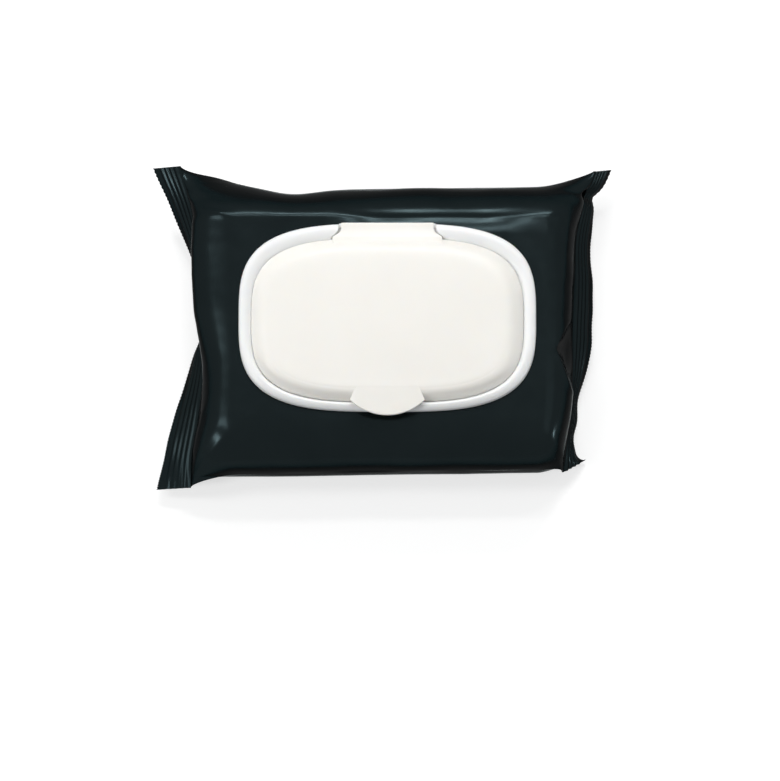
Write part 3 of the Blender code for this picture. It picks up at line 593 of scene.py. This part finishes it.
def film_skin():
    """The whole pouch: two layers of film, joined along their edges, with the hole under the lid."""
    widths = np.linspace(0, SEAL_WIDTH, SEAL_RINGS)[1:]
    layers = []
    for layer in (UPPER, LOWER):
        left, right = (
            [film_point_ring(side, reach, layer) for reach in film_reaches()]
            + [seal_point_ring(side, width, layer) for width in widths]
            for side in (LEFT, RIGHT)
        )
        layers.append(np.array(left[:0:-1] + right))
    upper, lower = layers
    rings, count = upper.shape[:2]
    points = np.concatenate([upper.reshape(-1, 3), lower.reshape(-1, 3)])
    faces = []
    centre = (upper[:-1, :-1] + upper[1:, 1:]) / 2
    half_length, half_depth = OPENING_LENGTH / 2 + HOLE_MARGIN, OPENING_DEPTH / 2 + HOLE_MARGIN
    hole = (
        (np.abs(centre[..., 0]) / half_length) ** OPENING_POWER
        + (np.abs(centre[..., 1]) / half_depth) ** OPENING_POWER
    ) < 1
    shift = rings * count
    for r in range(rings - 1):
        for i in range(count - 1):
            a, b = r * count + i, (r + 1) * count + i
            if not hole[r, i]:
                faces.append((a, b, b + 1, a + 1))
            faces.append((shift + a, shift + a + 1, shift + b + 1, shift + b))
        for i in (0, count - 1):
            a, b = r * count + i, (r + 1) * count + i
            faces.append((a, shift + a, shift + b, b))
    for r in (0, rings - 1):
        for i in range(count - 1):
            a = r * count + i
            faces.append((a, a + 1, shift + a + 1, shift + a))
    return mesh_from("film_skin", points, faces)


def seam_skin():
    """The back seam: a flat ribbed fin along the underside."""
    edge = SEAM_WIDTH / 2 / HALF_SEAL
    across = np.linspace(-edge, edge, SEAM_POINTS)
    turn = np.linspace(0, 2 * SEAM_RIB_COUNT * math.pi, SEAM_POINTS)
    ribs = SEAM_RIB_HEIGHT * (0.5 + 0.5 * np.cos(turn))
    rings = []
    reaches = [reach for reach in film_reaches() if reach <= 2 - SEAM_END_FADE]
    for side in (LEFT, RIGHT):
        for reach in reaches[:0:-1] if side == LEFT else reaches:
            place = bare_film(side, reach, across, LOWER)
            normal = film_normal(side, reach, across, LOWER)
            place = place - normal * channel_depth(reach, across)[:, None]
            inner = place + normal * SEAM_SINK
            outer = place + normal * (CONTACT_GAP + SEAM_THICKNESS - ribs)[:, None]
            rings.append(np.concatenate([inner, outer[::-1]]) * np.array([side, 1, 1]))
    points, faces = tube(rings)
    points[:, 2] = np.maximum(points[:, 2], 0.0)
    return mesh_from("back_seam", points, faces)


# The lid and its frame
def superellipse(length, depth, power, shift=0.0, points=OUTLINE_POINTS):
    """A rounded rectangle's outline, with its points evenly spread, found on a finer outline."""
    turn = np.arange(points) * 2 * math.pi / points
    fine = np.linspace(0, 2 * math.pi, 4001)
    x = length / 2 * np.sign(np.cos(fine)) * np.abs(np.cos(fine)) ** (2 / power)
    y = depth / 2 * np.sign(np.sin(fine)) * np.abs(np.sin(fine)) ** (2 / power)
    run = np.concatenate([[0], np.cumsum(np.hypot(np.diff(x), np.diff(y)))])
    want = turn / (2 * math.pi) * run[-1]
    return np.stack([np.interp(want, run, x), np.interp(want, run, y) + shift], 1)


def frame_outline(side, front, back):
    """The frame's outline, drawn in by a width at the sides, the front and the back."""
    depth = FRAME_DEPTH - front - back
    return superellipse(FRAME_LENGTH - 2 * side, depth, FRAME_POWER, (front - back) / 2)


def opening_outline(margin):
    """The dispensing opening's outline, widened by a margin."""
    return superellipse(OPENING_LENGTH + 2 * margin, OPENING_DEPTH + 2 * margin, OPENING_POWER)


def at_height(outline, height):
    """An outline as a ring, at a height above the frame's underside."""
    return np.column_stack([outline, np.full(len(outline), FRAME_BASE + height)])


def rim_ring(share, height):
    """A ring of the rim, drawn in by a share of the rim's width."""
    widths = [share * width for width in (RIM_SIDE_WIDTH, RIM_FRONT_WIDTH, RIM_BACK_WIDTH)]
    return at_height(frame_outline(*widths), height)


def frontness(outline, start, run):
    """0 at the back and the sides, 1 at the front, with a soft change between them."""
    return soft_step((-outline[:, 1] - start) / run)


def rounded_rim(share, soft, front):
    """A ring of the rim: a broad crest at the back and sides, a narrow one at the front."""
    ring = rim_ring(share, 0.0)
    blend = frontness(ring, RIM_CHANGE_START, RIM_CHANGE_RUN)
    ring[:, 2] += RIM_HEIGHT * (soft + (front - soft) * blend)
    return ring


def box_mesh(name, x_half, y_low, y_high, z_low, z_high):
    ring = [(-x_half, y_low), (x_half, y_low), (x_half, y_high), (-x_half, y_high)]
    rings = [np.array([(x, y, z) for x, y in ring]) for z in (z_low, z_high)]
    return mesh_from(name, *tube(rings))


def strap_half_width(y):
    """Half the strap's width, which widens where it meets the lid."""
    lid_edge = FRAME_DEPTH / 2 - RIM_BACK_WIDTH
    flare = np.clip((lid_edge - y) / STRAP_FLARE + 1, 0, 1)
    return STRAP_WIDTH / 2 + STRAP_FLARE * flare**2


def frame_skin():
    """The frame: rim, plate and collar as one ring, a notch for the strap and the sill under it."""
    rim = chaikin([
        rim_ring(0.0, 0.0),
        *(rounded_rim(*row) for row in RIM_PROFILE),
        rim_ring(RIM_FOOT, PLATE_THICKNESS),
    ], 2)
    collar = chaikin([
        at_height(opening_outline(COLLAR_WALL * 1.5), PLATE_THICKNESS),
        at_height(opening_outline(COLLAR_WALL), PLATE_THICKNESS),
        at_height(opening_outline(COLLAR_WALL), COLLAR_HEIGHT * COLLAR_ROUNDING),
        at_height(opening_outline(COLLAR_WALL * 0.75), COLLAR_HEIGHT),
        at_height(opening_outline(COLLAR_WALL * 0.25), COLLAR_HEIGHT),
        at_height(opening_outline(0.0), COLLAR_HEIGHT * COLLAR_ROUNDING),
        at_height(opening_outline(0.0), 0.0),
    ], 2)
    base = mesh_from("frame_base", *tube(rim + collar, loop=True))
    stations = np.linspace(FRAME_DEPTH / 2 - RIM_BACK_WIDTH - STRAP_FLARE, FRAME_DEPTH / 2, 16)
    stations = np.append(stations, FRAME_DEPTH / 2 + STRAP_FLARE)
    cut_low, cut_high = FRAME_BASE + PLATE_THICKNESS, FRAME_BASE + RIM_HEIGHT + STRAP_THICKNESS
    rings = []
    for y in stations:
        half = strap_half_width(y) + NOTCH_GAP * NOTCH_SHARE
        rings.append(np.array([
            (-half, y, cut_low), (half, y, cut_low),
            (half + NOTCH_SLOPE, y, cut_high), (-half - NOTCH_SLOPE, y, cut_high),
        ]))
    notch = mesh_from("notch", *tube(rings))
    sill = box_mesh(
        "sill", STRAP_WIDTH / 2 + NOTCH_GAP, FRAME_DEPTH / 2 - SILL_DEPTH, FRAME_DEPTH / 2,
        FRAME_BASE + PLATE_THICKNESS / 2, HINGE_Z - STRAP_THICKNESS / 2 - HINGE_GAP,
    )
    bevel_mesh(sill, SILL_BEVEL, 2)
    return combine("lid_frame_skin", base, [(notch, "DIFFERENCE"), (sill, "UNION")])


def lid_outline(share):
    """The lid's outline, drawn in by a share of its shoulder."""
    side = RIM_SIDE_WIDTH + LID_CLEARANCE + share * LID_SHOULDER_SIDE
    front = RIM_FRONT_WIDTH + LID_CLEARANCE + share * LID_SHOULDER_FRONT
    back = RIM_BACK_WIDTH + LID_CLEARANCE + share * LID_SHOULDER_BACK
    return frame_outline(side, front, back)


def tab_skin():
    """The thumb tab: a plate with a straight neck under the lid and an arc at the front."""
    tip_y = -(FRAME_DEPTH / 2 + TAB_OVERHANG) + TAB_SAGITTA
    half = TAB_WIDTH / 2
    radius = (half**2 + TAB_SAGITTA**2) / (2 * TAB_SAGITTA)
    centre_y = tip_y - TAB_SAGITTA + radius
    spread = math.asin(half / radius)
    arc = [
        (radius * math.sin(turn), centre_y - radius * math.cos(turn))
        for turn in np.linspace(spread, -spread, 49)
    ]
    neck_y = tip_y - TAB_SAGITTA + TAB_LENGTH + TAB_ROOT_DEPTH
    neck = TAB_NECK_WIDTH / 2
    outline = np.array([(-neck, neck_y), (neck, neck_y)] + arc)
    top = FRAME_BASE + LID_CREASE_HEIGHT + TAB_LIFT
    rings = [np.column_stack([outline, np.full(len(outline), z)]) for z in (top - TAB_THICKNESS, top)]
    return bevel_mesh(mesh_from("tab", *tube(rings)), TAB_BEVEL, 3)


def strap_skin():
    """The strap, from inside the lid to its round end on the hinge line."""
    root_y = FRAME_DEPTH / 2 - RIM_BACK_WIDTH - LID_CLEARANCE - STRAP_ROOT_DEPTH - STRAP_EXTRA_ROOT
    radius = STRAP_THICKNESS / 2
    stations = [(y, radius) for y in np.linspace(root_y, HINGE_Y, 22)]
    stations += [
        (HINGE_Y + radius * math.sin(turn), radius * math.cos(turn))
        for turn in np.linspace(0, STRAP_TURN, 9)[1:]
    ]
    rings = []
    for y, half_thickness in stations:
        half = strap_half_width(y)
        inward = np.clip((HINGE_Y - y) / (HINGE_Y - root_y), 0, 1)
        z_low = HINGE_Z - half_thickness
        z_high = HINGE_Z + half_thickness + STRAP_RISE * inward**STRAP_RISE_POWER
        rings.append(np.array([(-half, y, z_low), (half, y, z_low), (half, y, z_high), (-half, y, z_high)]))
    return bevel_mesh(mesh_from("strap", *tube(rings)), STRAP_BEVEL, 2, angle=60)


def lid_skin():
    """The lid: a crown, a shoulder and a thin wall, with the skirt inside, the tab and the strap."""
    foot = PLATE_THICKNESS + LID_LIFT
    rise = LID_CREASE_HEIGHT - foot
    under = LID_CREASE_HEIGHT - LID_WALL
    inner_share = LID_WALL / LID_SHOULDER_SIDE
    skirt_in = COLLAR_WALL + SKIRT_CLEARANCE
    skirt_out = skirt_in + SKIRT_WALL
    skirt_end = PLATE_THICKNESS + SKIRT_LIFT
    crease = lid_outline(1.0)
    middle = crease.mean(axis=0)

    def crown(share):
        outline = middle + (crease - middle) * share
        return at_height(outline, LID_CREASE_HEIGHT + LID_CROWN * (1 - share**2))

    def shoulder(share, soft, creased):
        """A ring of the shoulder: soft at the sides and the back, with a crease at the front."""
        outline = lid_outline(share)
        front = frontness(outline, SHOULDER_CHANGE_START, SHOULDER_CHANGE_RUN)
        return np.column_stack([outline, FRAME_BASE + foot + rise * (soft + (creased - soft) * front)])

    outside = chaikin([
        *(crown(share) for share in CROWN_SHARES),
        *(shoulder(*row) for row in SHOULDER_PROFILE),
        at_height(lid_outline(-0.01), foot + rise * 0.04),
        at_height(lid_outline(0.0), foot),
        at_height(lid_outline(inner_share), foot),
    ], 2)
    inside = chaikin([
        at_height(lid_outline(inner_share), foot),
        *(at_height(lid_outline(inner_share + share), foot + rise * up) for share, up in UNDERSIDE_PROFILE),
        at_height(lid_outline(inner_share + 0.9), under),
        at_height(opening_outline(skirt_out + SKIRT_FILLET), under),
        at_height(opening_outline(skirt_out), under - SKIRT_FILLET / 2),
        at_height(opening_outline(skirt_out), skirt_end + SKIRT_ROUNDING),
        at_height(opening_outline((skirt_in + skirt_out) / 2), skirt_end),
        at_height(opening_outline(skirt_in), skirt_end + SKIRT_ROUNDING),
        at_height(opening_outline(skirt_in), under - SKIRT_FILLET / 2),
        at_height(opening_outline(skirt_in - SKIRT_FILLET), under),
    ], 2)[1:]
    base = mesh_from("lid_base", *tube(outside + inside))
    return combine("flip_lid_skin", base, [(tab_skin(), "UNION"), (strap_skin(), "UNION")])


# The wipes
def stack_skin():
    """The folded wipes, one over another, with rounded folds along their long sides."""
    inside_low = FILM_WALL + SEAM_THICKNESS + 2 * CONTACT_GAP
    inside_high = PACK_HEIGHT - FILM_WALL - CONTACT_GAP - WIPE_THICKNESS - CONTACT_GAP
    length = BODY_LENGTH - 2 * STACK_END_ROOM
    width = BODY_WIDTH - 2 * STACK_SIDE_ROOM
    pitch = (inside_high - inside_low) / WIPE_COUNT
    rng = np.random.RandomState(5)
    rings = []
    for wipe in range(WIPE_COUNT):
        jitter = rng.uniform(-WIPE_JITTER, 0.0)
        for step, inset in enumerate(WIPE_INSETS):
            z = inside_low + pitch * (wipe + (step + 0.5) / len(WIPE_INSETS))
            from_middle = abs((z - inside_low) / (inside_high - inside_low) - 0.5) * 2
            beyond = max(0.0, (from_middle - STACK_ROUNDING_START) / (1 - STACK_ROUNDING_START))
            round_in = STACK_ROUNDING * beyond**STACK_ROUNDING_POWER
            drawn_in = 2 * (inset + round_in - jitter * 0.5)
            outline = superellipse(
                length - drawn_in, width - drawn_in, STACK_CORNER_POWER, points=STACK_POINTS
            )
            rings.append(np.column_stack([outline, np.full(STACK_POINTS, z)]))
    return mesh_from("wipe_stack_skin", *tube(rings))


TOP_WIPE_LENGTH = BODY_LENGTH - 2 * STACK_END_ROOM - 2 * TOP_WIPE_INSET
TOP_WIPE_WIDTH = BODY_WIDTH - 2 * STACK_SIDE_ROOM - 2 * TOP_WIPE_INSET


def top_wipe_skin():
    """The next wipe: one sheet folded in two, its fold to the front, the upper half slightly creased."""
    z_high = PACK_HEIGHT - FILM_WALL - CONTACT_GAP - SHEET_ROOM
    z_low = z_high - WIPE_THICKNESS + 2 * SHEET_ROOM
    radius = (z_high - z_low) / 2
    half = TOP_WIPE_WIDTH / 2
    profile = [(y, z_low) for y in np.linspace(half, -half + radius, 50)]
    profile += [
        (-half + radius - radius * math.sin(turn), (z_low + z_high) / 2 - radius * math.cos(turn))
        for turn in np.linspace(0, math.pi, 9)[1:-1]
    ]
    profile += [(y, z_high) for y in np.linspace(-half + radius, half - SHEET_SHORT, 80)]
    profile = np.array(profile)
    xs = np.linspace(-TOP_WIPE_LENGTH / 2, TOP_WIPE_LENGTH / 2, 110)
    grid = np.zeros((len(xs), len(profile), 3))
    grid[..., 0] = xs[:, None]
    grid[..., 1] = profile[None, :, 0]
    grid[..., 2] = profile[None, :, 1]
    sag = np.clip((grid[..., 2] - z_low) / (z_high - z_low), 0, 1)
    flat_xy = grid[..., :2].reshape(-1, 2)
    lift = smooth_noise(flat_xy, 77, *SHEET_CREASE_LENGTHS).reshape(grid.shape[:2])
    grid[..., 2] += sag * (SHEET_CREASE * lift - SHEET_CREASE)
    rows, columns = grid.shape[:2]
    corners = [r * columns + i for r in range(rows - 1) for i in range(columns - 1)]
    faces = [(a, a + columns, a + columns + 1, a + 1) for a in corners]
    return mesh_from("top_wipe_skin", grid.reshape(-1, 3), faces)


# Materials
def new_material(name):
    """A material, its tree, its shader and the object coordinates that its patterns use."""
    made = bpy.data.materials.new(name)
    made.use_nodes = True
    tree = made.node_tree
    coords = tree.nodes.new("ShaderNodeTexCoord").outputs["Object"]
    return made, tree, tree.nodes["Principled BSDF"], coords


def noise(tree, coords, scale, detail=2.0, roughness=0.5):
    made = tree.nodes.new("ShaderNodeTexNoise")
    made.inputs["Scale"].default_value = scale
    made.inputs["Detail"].default_value = detail
    made.inputs["Roughness"].default_value = roughness
    tree.links.new(coords, made.inputs["Vector"])
    return made.outputs["Fac"]


def ramp(tree, value, points):
    """A ramp through (position, colour) points."""
    made = tree.nodes.new("ShaderNodeValToRGB")
    elements = made.color_ramp.elements
    for element, (position, colour) in ((elements[0], points[0]), (elements[1], points[-1])):
        element.position = position
        element.color = (*colour, 1)
    for position, colour in points[1:-1]:
        elements.new(position).color = (*colour, 1)
    tree.links.new(value, made.inputs["Fac"])
    return made.outputs["Color"]


def span(tree, value, low_in, high_in, low_out, high_out):
    """A value's range mapped to another range."""
    made = tree.nodes.new("ShaderNodeMapRange")
    ends = {"From Min": low_in, "From Max": high_in, "To Min": low_out, "To Max": high_out}
    for name, number in ends.items():
        made.inputs[name].default_value = number
    tree.links.new(value, made.inputs["Value"])
    return made.outputs["Result"]


def bumps(tree, shader, *layers):
    """Bump layers of (height, strength, distance), each upon the one before it."""
    normal = None
    for height, strength, distance in layers:
        made = tree.nodes.new("ShaderNodeBump")
        made.inputs["Strength"].default_value = strength
        made.inputs["Distance"].default_value = distance
        tree.links.new(height, made.inputs["Height"])
        if normal is not None:
            tree.links.new(normal, made.inputs["Normal"])
        normal = made.outputs["Normal"]
    tree.links.new(normal, shader.inputs["Normal"])


def film_material():
    """Satin laminate, nearly black, whose form shows in what it mirrors."""
    made, tree, shader, coords = new_material("dark_satin_film")
    tone = noise(tree, coords, 60.0, 3.0)
    colour = ramp(tree, tone, [(0.3, (0.0095, 0.0140, 0.0152)), (0.7, (0.0108, 0.0156, 0.0168))])
    tree.links.new(colour, shader.inputs["Base Color"])
    haze = noise(tree, coords, 140.0, 4.0)
    tree.links.new(span(tree, haze, 0.3, 0.7, 0.19, 0.25), shader.inputs["Roughness"])
    crinkle = noise(tree, coords, 95.0, 2.0, 0.5)
    grain = noise(tree, coords, 2600.0, 1.0)
    bumps(tree, shader, (crinkle, 0.10, 0.0004), (grain, 0.10, 0.00002))
    shader.inputs["Metallic"].default_value = 0.80
    shader.inputs["Specular IOR Level"].default_value = 0.06
    shader.inputs["Specular Tint"].default_value = (0.17, 0.20, 0.20, 1)
    return made


def plastic_material(name, colour_low, colour_high, roughness):
    """Moulded polypropylene, slightly clouded, with a fine grain."""
    made, tree, shader, coords = new_material(name)
    tone = noise(tree, coords, 45.0, 2.0)
    tree.links.new(ramp(tree, tone, [(0.3, colour_low), (0.7, colour_high)]), shader.inputs["Base Color"])
    haze = noise(tree, coords, 320.0, 3.0)
    rough = span(tree, haze, 0.3, 0.7, roughness - 0.04, roughness + 0.05)
    tree.links.new(rough, shader.inputs["Roughness"])
    shader.inputs["Subsurface Weight"].default_value = 0.25
    shader.inputs["Subsurface Radius"].default_value = (0.0012, 0.0010, 0.0008)
    shader.inputs["Subsurface Scale"].default_value = 1.0
    grain = noise(tree, coords, 1900.0, 2.0)
    flow = noise(tree, coords, 90.0, 1.0)
    bumps(tree, shader, (flow, 0.10, 0.0003), (grain, 0.16, 0.00004))
    return made


def wipe_material():
    """Wet nonwoven cloth: fibres over a pattern of small cells."""
    made, tree, shader, coords = new_material("wet_nonwoven")
    fibres = noise(tree, coords, 900.0, 5.0, 0.7)
    colour = ramp(tree, fibres, [(0.25, (0.72, 0.72, 0.70)), (0.75, (0.86, 0.86, 0.84))])
    tree.links.new(colour, shader.inputs["Base Color"])
    shader.inputs["Roughness"].default_value = 0.62
    shader.inputs["Sheen Weight"].default_value = 0.25
    cells = tree.nodes.new("ShaderNodeTexVoronoi")
    cells.inputs["Scale"].default_value = 620.0
    tree.links.new(coords, cells.inputs["Vector"])
    bumps(tree, shader, (cells.outputs["Distance"], 0.5, 0.00018), (fibres, 0.4, 0.0001))
    return made


film = film_material()
lid_white = plastic_material("white_moulded_lid", (0.876, 0.852, 0.806), (0.894, 0.870, 0.824), 0.42)
frame_white = plastic_material("white_moulded_frame", (0.856, 0.862, 0.862), (0.876, 0.882, 0.884), 0.40)
cloth = wipe_material()

skin = add_piece("film_skin", film_skin(), film, "pack", 55)
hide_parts("film_pouch")
add_piece("back_seam", seam_skin(), film, "pack")
frame_piece = add_piece("lid_frame_skin", frame_skin(), frame_white, "pack", 38)
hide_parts("lid_frame")
lid_piece = add_piece("flip_lid_skin", lid_skin(), lid_white, "lid", 38)
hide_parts("flip_lid")
stack_piece = add_piece("wipe_stack_skin", stack_skin(), cloth, "pack", 60)
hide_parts("wipe_stack")
top_piece = add_piece("top_wipe_skin", top_wipe_skin(), cloth, "pack", 60)
thick = top_piece.modifiers.new("thickness", "SOLIDIFY")
thick.thickness = SHEET_THICKNESS
thick.offset = 0
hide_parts("top_wipe")


# Floor, lights and camera
def maths(tree, operation, first, second, kind="ShaderNodeMath"):
    made = tree.nodes.new(kind)
    made.operation = operation
    tree.links.new(first, made.inputs[0])
    tree.links.new(second, made.inputs["Scale" if operation == "SCALE" else 1])
    return made.outputs[0]


def show_backdrop(tree, lighting, shown):
    """Diffuse rays find the lighting. The camera, reflections and clear things find the white backdrop."""
    path = tree.nodes.new("ShaderNodeLightPath")
    mirrored = maths(tree, "MAXIMUM", path.outputs["Is Glossy Ray"], path.outputs["Is Transmission Ray"])
    seen = maths(tree, "MAXIMUM", path.outputs["Is Camera Ray"], mirrored)
    mix = tree.nodes.new("ShaderNodeMixShader")
    tree.links.new(seen, mix.inputs["Fac"])
    tree.links.new(lighting.outputs[0], mix.inputs[1])
    tree.links.new(shown.outputs[0], mix.inputs[2])
    return mix.outputs[0]


def diffuse(tree, brightness):
    made = tree.nodes.new("ShaderNodeBsdfDiffuse")
    made.inputs["Color"].default_value = (brightness, brightness, brightness, 1)
    return made


def floor():
    """A white floor, on which the pack's shadow stays."""
    shape = bmesh.new()
    bmesh.ops.create_grid(shape, x_segments=1, y_segments=1, size=FLOOR_SIZE)
    mesh = bpy.data.meshes.new("floor")
    shape.to_mesh(mesh)
    shape.free()
    made = new_object("floor", mesh)
    made.location = (0, 0, -FLOOR_DROP)
    material, tree, shader, _ = new_material("white_floor")
    tree.nodes.remove(shader)
    glow = tree.nodes.new("ShaderNodeEmission")
    glow.inputs["Color"].default_value = (1, 1, 1, 1)
    glow.inputs["Strength"].default_value = FLOOR_GLOW
    both = tree.nodes.new("ShaderNodeAddShader")
    tree.links.new(diffuse(tree, FLOOR_SHADOW).outputs[0], both.inputs[0])
    tree.links.new(glow.outputs[0], both.inputs[1])
    surface = show_backdrop(tree, diffuse(tree, FLOOR_COLOUR), both)
    tree.links.new(surface, tree.nodes["Material Output"].inputs["Surface"])
    mesh.materials.append(material)
    made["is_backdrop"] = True


def world():
    """The studio: a grey dome and a soft panel at the upper left back give diffuse light."""
    made = bpy.data.worlds.new("studio")
    bpy.context.scene.world = made
    made.use_nodes = True
    tree = made.node_tree
    background = tree.nodes["Background"]
    coords = tree.nodes.new("ShaderNodeTexCoord").outputs["Generated"]
    towards = tree.nodes.new("ShaderNodeVectorMath")
    towards.operation = "DOT_PRODUCT"
    towards.inputs[1].default_value = (-0.60, 0.35, 0.72)
    tree.links.new(coords, towards.inputs[0])
    panel = ramp(tree, towards.outputs["Value"], [
        (0.0, (0.0, 0.0, 0.0)),
        (0.62, (0.0, 0.0, 0.0)),
        (0.86, (0.015, 0.015, 0.015)),
        (1.0, (0.07, 0.07, 0.07)),
    ])
    apart = tree.nodes.new("ShaderNodeSeparateXYZ")
    tree.links.new(coords, apart.inputs[0])
    dome = ramp(tree, apart.outputs["Z"], [
        (0.0, (0.46, 0.47, 0.47)),
        (0.12, (0.34, 0.35, 0.35)),
        (0.35, (0.24, 0.25, 0.25)),
        (0.60, (0.34, 0.35, 0.35)),
        (0.78, (0.38, 0.39, 0.39)),
        (0.92, (0.12, 0.125, 0.125)),
        (1.0, (0.06, 0.065, 0.065)),
    ])
    share = span(tree, apart.outputs["Y"], -0.90, -0.10, 0.86, 1.0)
    uneven = maths(tree, "SCALE", dome, share, "ShaderNodeVectorMath")
    sky = maths(tree, "ADD", panel, uneven, "ShaderNodeVectorMath")
    tree.links.new(sky, background.inputs["Color"])
    background.inputs["Strength"].default_value = 0.86
    white = tree.nodes.new("ShaderNodeBackground")
    white.inputs["Color"].default_value = (1, 1, 1, 1)
    white.inputs["Strength"].default_value = 1.0
    surface = show_backdrop(tree, background, white)
    tree.links.new(surface, tree.nodes["World Output"].inputs["Surface"])


def lamp(name, azimuth, elevation, distance, size, power):
    """A soft box that looks at the pack. Azimuth 0 is in front, 90 to the right."""
    a, e = math.radians(azimuth), math.radians(elevation)
    away = np.array([math.sin(a) * math.cos(e), -math.cos(a) * math.cos(e), math.sin(e)])
    data = bpy.data.lights.new(name, "AREA")
    data.shape = "RECTANGLE"
    data.size, data.size_y = size
    data.energy = power
    made = new_object(name, data)
    made.location = tuple(away * distance)
    made.rotation_mode = "QUATERNION"
    made.rotation_quaternion = Vector(tuple(-away)).to_track_quat("-Z", "Y")


def camera():
    """A long lens above the front, level from left to right."""
    data = bpy.data.cameras.new("camera")
    made = new_object("camera", data)
    bpy.context.scene.camera = made
    data.type = "PERSP"
    data.lens = CAMERA_LENS
    data.sensor_width = CAMERA_SENSOR
    elevation = math.radians(CAMERA_ELEVATION)
    into = np.array([0.0, math.cos(elevation), -math.sin(elevation)])
    up = np.array([0.0, math.sin(elevation), math.cos(elevation)])
    target = LID_MIDDLE + np.array([CAMERA_RIGHT, 0.0, LID_TOP_Z]) - up * CAMERA_LOWER
    made.location = tuple(target - into * CAMERA_DISTANCE)
    made.rotation_mode = "XYZ"
    made.rotation_euler = (math.pi / 2 - elevation, 0.0, 0.0)
    data.clip_start, data.clip_end = 0.1, 50.0


floor()
world()
lamp("back_box", 176, 42, 1.5, (0.86, 0.11), 9.4)
lamp("back_high_box", 170, 60, 1.5, (0.6, 0.10), 3.8)
lamp("left_box", -98, 57, 1.4, (0.26, 0.60), 3.4)
lamp("left_front_box", -67, 36, 1.4, (0.18, 0.30), 4.4)
lamp("right_box", 84, 56, 1.4, (0.9, 0.7), 1.1)
lamp("right_low_box", 76, 9, 1.4, (0.22, 0.10), 2.6)
camera()
bpy.context.scene.view_settings.view_transform = "Standard"

low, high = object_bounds()
